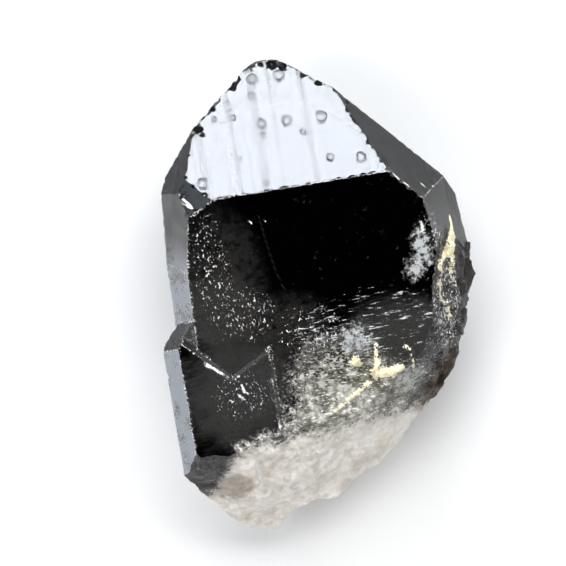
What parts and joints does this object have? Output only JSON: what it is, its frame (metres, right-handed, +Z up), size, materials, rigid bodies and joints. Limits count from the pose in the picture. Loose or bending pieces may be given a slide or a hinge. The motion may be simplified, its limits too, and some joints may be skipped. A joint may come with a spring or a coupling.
{
  "type": "rough smoky quartz specimen",
  "caption": "Rough near-black smoky quartz crystal with a smaller crystal grown into its flank and a broken milky root, lying on its flat back face.",
  "frame": {"origin": "centre of the bounding box's underside, in the plane of the flat back prism face", "axes": "+Y along the crystals' long axis towards the tip, +Z up out of the big front prism face, +X to the right of that face"},
  "size_m": [0.0478, 0.0724, 0.0265],
  "materials": {
    "smoky_quartz": "glassy crystal faces, rough milky breaks"
  },
  "bodies": {
    "root": {"morion_crystal": "smoky_quartz"}
  },
  "joints": []
}
